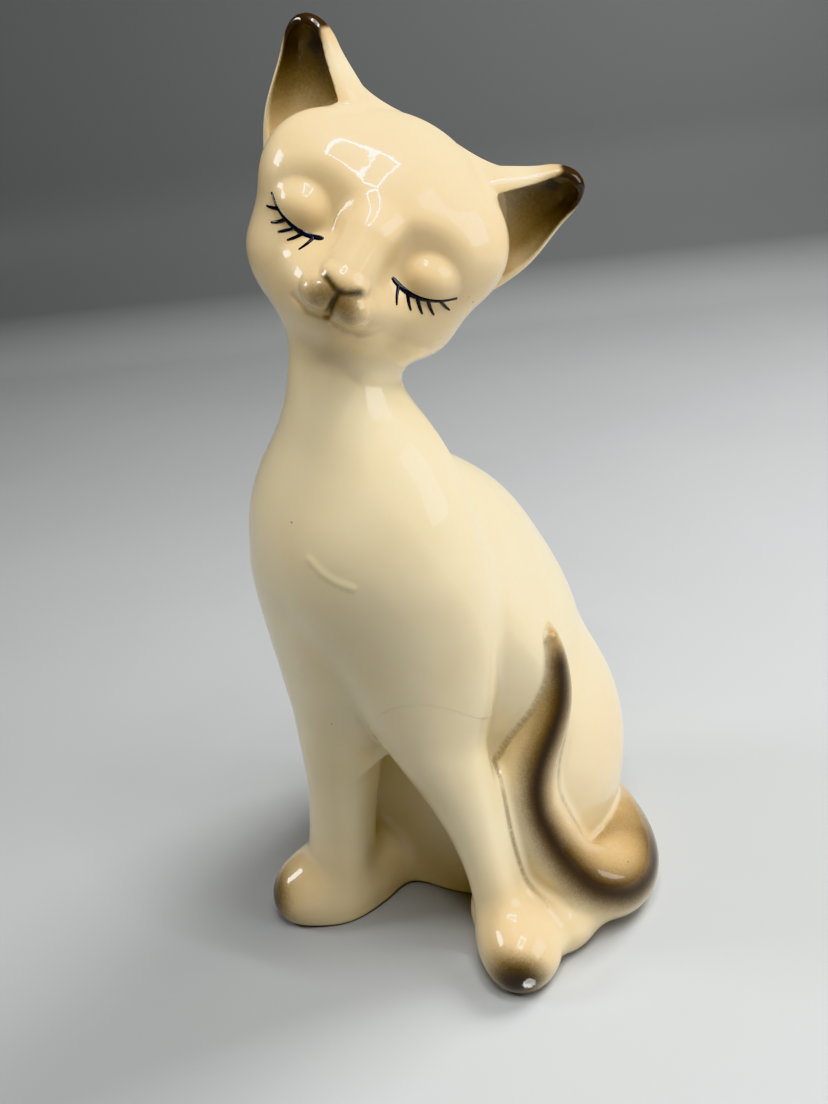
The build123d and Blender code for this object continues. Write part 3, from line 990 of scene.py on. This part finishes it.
enamel = enamel_material("lash_enamel")
for name, side in (("left_lashes", 1), ("right_lashes", -1)):
    points, quads = [], []
    for line, width in eye_strokes(side):
        more, faces = stroke(line, width)
        first = sum(len(block) for block in points)
        quads += [tuple(first + i for i in face) for face in faces]
        points.append(more)
    piece = mesh_object(name + "_enamel", np.concatenate(points), np.array(quads))
    hand_over(piece, name, enamel)


# ------------------------------------------------------------------ stage, light and camera
# The sweep of paper, in metres: it runs from in front of the figurine to a wall behind it
SWEEP_TURN = 30.0
SWEEP_FRONT = -1.6
SWEEP_FLAT_TO = 0.56
SWEEP_RADIUS = 0.12
SWEEP_TOP = 2.2
SWEEP_HALF_WIDTH = 2.5
SWEEP_STEPS = 12
PAPER = ((0.37, 0.38, 0.38), (0.42, 0.43, 0.43))
# The wall's paper is painted darker than the floor: painted shade on the backdrop.
PAPER_WALL_SHADE = (0.17, 0.174, 0.174)


def stage_sweep():
    """A plain sweep: a pale floor, a wide curve and a wall behind, its paper painted darker there as shade.
    """
    profile = [(SWEEP_FRONT, 0.0), (SWEEP_FLAT_TO, 0.0)]
    for i in range(1, SWEEP_STEPS + 1):
        a = math.radians(90 * i / SWEEP_STEPS)
        profile.append((SWEEP_FLAT_TO + SWEEP_RADIUS * math.sin(a), SWEEP_RADIUS * (1 - math.cos(a))))
    profile.append((SWEEP_FLAT_TO + SWEEP_RADIUS, SWEEP_TOP))
    turn = math.radians(SWEEP_TURN)
    points = []
    for along, up in profile:
        for across in (-SWEEP_HALF_WIDTH, SWEEP_HALF_WIDTH):
            x = across * math.cos(turn) - along * math.sin(turn)
            y = across * math.sin(turn) + along * math.cos(turn)
            points.append((x, y, up))
    faces = np.array([(2 * i, 2 * i + 1, 2 * i + 3, 2 * i + 2) for i in range(len(profile) - 1)])
    sweep = mesh_object("sweep", np.array(points) * MM, faces)
    material = bpy.data.materials.new("sweep_paper")
    material.use_nodes = True
    tree = material.node_tree
    shader = tree.nodes["Principled BSDF"]
    where = tree.nodes.new("ShaderNodeTexCoord").outputs["Object"]
    grain = noise_node(tree, where, 6, 3)
    floor = mix_colour(tree, grain, colour_node(tree.nodes, PAPER[0]), colour_node(tree.nodes, PAPER[1]))
    height = tree.nodes.new("ShaderNodeSeparateXYZ")
    tree.links.new(where, height.inputs[0])
    # The paper darkens as it rises from the floor into the wall: painted shade.
    wall_shade = map_range(tree, height.outputs[2], 0.0, 0.03, 0.0, 1.0)
    body = mix_colour(tree, wall_shade, floor, colour_node(tree.nodes, PAPER_WALL_SHADE))
    tree.links.new(body, shader.inputs["Base Color"])
    shader.inputs["Roughness"].default_value = 0.45
    shader.inputs["Specular IOR Level"].default_value = 0.25
    sweep.data.materials.append(material)


def area_light(name, at, target, size, size_y, power):
    light = bpy.data.lights.new(name, "AREA")
    light.energy = power
    light.shape = "RECTANGLE"
    light.size = size
    light.size_y = size_y
    lamp = bpy.data.objects.new(name, light)
    bpy.context.scene.collection.objects.link(lamp)
    lamp.location = at
    lamp.rotation_euler = look_along(np.array(target, float) - np.array(at, float))
    return lamp


def look_along(direction, roll=0.0):
    """Euler angles of an object whose -Z looks along the direction, rolled about it in degrees."""
    d = Vector(direction).normalized()
    turn = d.to_track_quat("-Z", "Y")
    return (Quaternion(d, math.radians(roll)) @ turn).to_euler()


stage_sweep()
# Three soft boxes: place, side, power. The one behind gives light only, with no image of itself in the glaze.
LIT = (0.0, -0.005, 0.11)
back = area_light("back_soft", (0.30, 0.45, 0.60), LIT, 0.35, 0.35, 7.0)
back.visible_glossy = False
area_light("right_soft", (0.62, 0.05, 0.35), LIT, 0.4, 0.4, 2.2)
area_light("left_soft", (-0.55, -0.27, 0.48), LIT, 0.18, 0.18, 1.7)
# Four strips overhead make a lit window frame, which the forehead reflects: place in it, length in x and y
FRAME_AT = np.array((0.135, -0.15, 0.52))
FRAME_STRIPS = ((0, 0.11, 0.13, 0.012), (0, -0.11, 0.13, 0.012),
                (0.06, 0, 0.012, 0.21), (-0.06, 0, 0.012, 0.21))
STRIP_POWER = 0.55
for i, (x, y, long_x, long_y) in enumerate(FRAME_STRIPS):
    spot = FRAME_AT + (x, y, 0)
    area_light("frame_light_%d" % i, spot, spot - (0, 0, 1), long_x, long_y, STRIP_POWER)

world = bpy.data.worlds.new("world")
bpy.context.scene.world = world
world.use_nodes = True
# A dim room for the glaze to reflect, but a pale backdrop where the camera sees past the sweep
world_light = world.node_tree.nodes["Background"]
world_light.inputs[0].default_value = (0.78, 0.78, 0.78, 1)
world_path = world.node_tree.nodes.new("ShaderNodeLightPath")
seen = map_range(world.node_tree, world_path.outputs["Is Camera Ray"], 0.0, 1.0, 0.11, 0.42)
world.node_tree.links.new(seen, world_light.inputs[1])
bpy.context.scene.view_settings.view_transform = "Khronos PBR Neutral"

# The camera looks down at the figurine from the cat's front left, close, with a slight lean.
AZIMUTH, PITCH, ROLL = 30.0, 25.0, 6.0
DISTANCE = 0.270
LENS = 1150 / 1104 * 36
AIM = (-0.0025, -0.0049, 0.0959)
a, t = math.radians(AZIMUTH), math.radians(PITCH)
forward = np.array((-math.sin(a) * math.cos(t), math.cos(a) * math.cos(t), -math.sin(t)))
camera_data = bpy.data.cameras.new("camera")
camera_data.lens = LENS
camera_data.sensor_width = 36
camera_data.clip_start = 0.01
camera = bpy.data.objects.new("camera", camera_data)
bpy.context.scene.collection.objects.link(camera)
camera.location = np.array(AIM) - DISTANCE * forward
camera.rotation_euler = look_along(forward, ROLL)
bpy.context.scene.camera = camera
